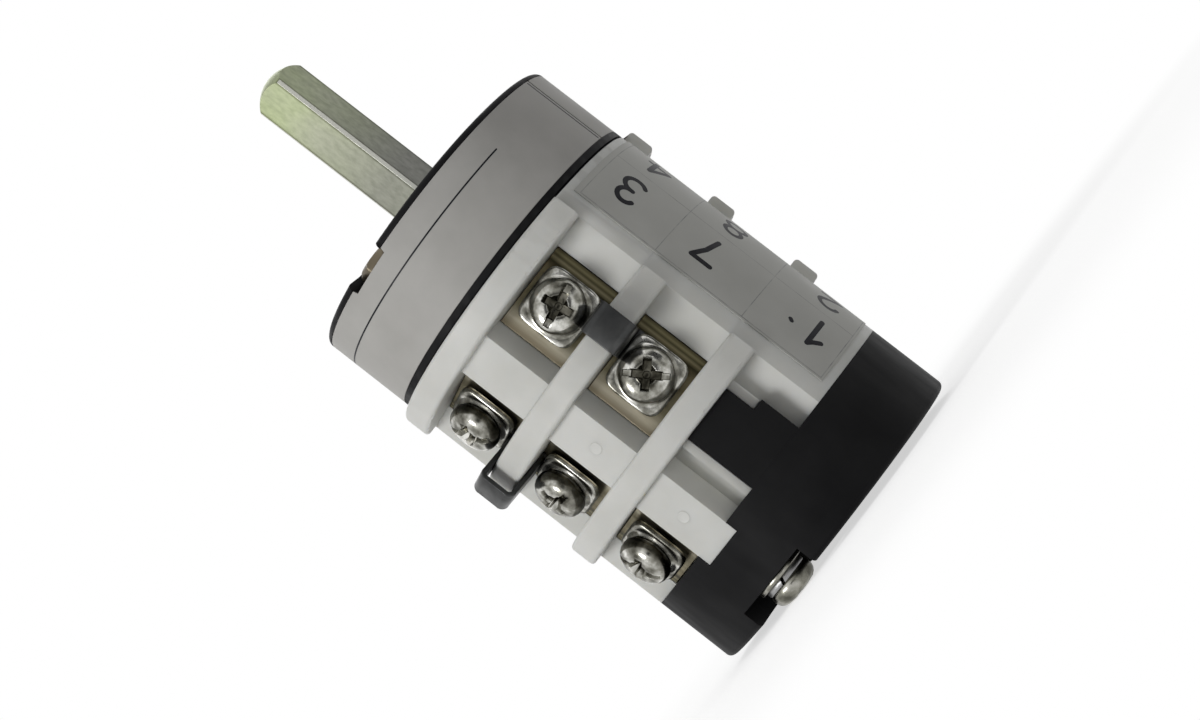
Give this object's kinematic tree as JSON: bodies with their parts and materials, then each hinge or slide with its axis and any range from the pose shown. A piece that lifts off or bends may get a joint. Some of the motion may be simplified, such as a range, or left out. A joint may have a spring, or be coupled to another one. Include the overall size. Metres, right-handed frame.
{
  "type": "rotary cam switch",
  "caption": "Round three-stage rotary cam switch with a square shaft, screw terminals in side bays, strap jumpers and a spring return to centre.",
  "frame": {"origin": "centre of the front mounting face, on the shaft's axis", "axes": "+Z out along the shaft, through bolts at +Y and -Y, smooth label seats at +X and -X"},
  "size_m": [0.0532, 0.0568, 0.1133],
  "materials": {
    "white_plastic": "moulded nylon, slightly satin",
    "black_plastic": "moulded black plastic, satin",
    "grey_plastic": "moulded acetal",
    "label_paper": "printed paper label",
    "nickel_steel": "bright nickel plate",
    "zinc_steel": "yellow-green passivated zinc plate",
    "spring_steel": "bare spring steel",
    "brass": "dull brass",
    "silver": "silver contact alloy",
    "jumper_strap": "dull dark plated strap",
    "copper": "bare copper strip"
  },
  "bodies": {
    "housing": {"front_housing": "black_plastic", "front_label": "label_paper", "number_label": "label_paper", "stage_1_body": "white_plastic", "stage_2_body": "white_plastic", "stage_3_body": "white_plastic", "rear_cover": "black_plastic", "through_bolts": "nickel_steel", "bolt_washers": "nickel_steel", "bolt_spring_washers": "spring_steel", "bolt_nuts": "brass", "terminal_plates_1": "brass", "terminal_plates_2": "brass", "terminal_plates_3": "brass", "fixed_tips_1": "silver", "fixed_tips_2": "silver", "fixed_tips_3": "silver", "clamp_plates_1": "nickel_steel", "clamp_plates_2": "nickel_steel", "clamp_plates_3": "nickel_steel", "terminal_screws_1": "nickel_steel", "terminal_screws_2": "nickel_steel", "terminal_screws_3": "nickel_steel", "jumper_right": "jumper_strap", "jumper_left": "jumper_strap", "return_spring": "spring_steel"},
    "rotor": {"shaft": "zinc_steel", "shaft_pin": "spring_steel", "front_bush": "grey_plastic", "cam_1": "white_plastic", "cam_2": "white_plastic", "cam_3": "white_plastic", "end_bush": "grey_plastic"},
    "contact_1_right": {"plunger_1_right": "black_plastic", "bridge_1_right": "copper", "spring_1_right": "spring_steel"},
    "contact_1_left": {"plunger_1_left": "black_plastic", "bridge_1_left": "copper", "spring_1_left": "spring_steel"},
    "contact_2_right": {"plunger_2_right": "black_plastic", "bridge_2_right": "copper", "spring_2_right": "spring_steel"},
    "contact_2_left": {"plunger_2_left": "black_plastic", "bridge_2_left": "copper", "spring_2_left": "spring_steel"},
    "contact_3_left": {"plunger_3_left": "black_plastic", "bridge_3_left": "copper", "spring_3_left": "spring_steel"}
  },
  "joints": [
    {"name": "shaft_turn", "type": "hinge", "parent": "housing", "child": "rotor", "pos_m": [0, 0, 0], "axis": [0, 0, 1], "range_deg": [-45, 45], "stiffness_Nm_per_rad": 0.4, "deforming": ["return_spring"]},
    {"name": "contact_1_right_slide", "type": "slide", "parent": "housing", "child": "contact_1_right", "axis": [1, 0, 0], "range_m": [-0.0012, 0.0012], "deforming": ["spring_1_right"]},
    {"name": "contact_1_left_slide", "type": "slide", "parent": "housing", "child": "contact_1_left", "axis": [-1, 0, 0], "range_m": [-0.0012, 0.0012], "deforming": ["spring_1_left"]},
    {"name": "contact_2_right_slide", "type": "slide", "parent": "housing", "child": "contact_2_right", "axis": [1, 0, 0], "range_m": [-0.0012, 0.0012], "deforming": ["spring_2_right"]},
    {"name": "contact_2_left_slide", "type": "slide", "parent": "housing", "child": "contact_2_left", "axis": [-1, 0, 0], "range_m": [-0.0012, 0.0012], "deforming": ["spring_2_left"]},
    {"name": "contact_3_left_slide", "type": "slide", "parent": "housing", "child": "contact_3_left", "axis": [-1, 0, 0], "range_m": [-0.0012, 0.0012], "deforming": ["spring_3_left"]}
  ],
  "couplings": [
    {"joint": "contact_1_right_slide", "follows": "shaft_turn", "m_per_rad": -0.0015278},
    {"joint": "contact_1_left_slide", "follows": "shaft_turn", "m_per_rad": -0.0015278},
    {"joint": "contact_2_right_slide", "follows": "shaft_turn", "m_per_rad": 0.0015278},
    {"joint": "contact_2_left_slide", "follows": "shaft_turn", "m_per_rad": 0.0015278},
    {"joint": "contact_3_left_slide", "follows": "shaft_turn", "m_per_rad": -0.0015278}
  ]
}
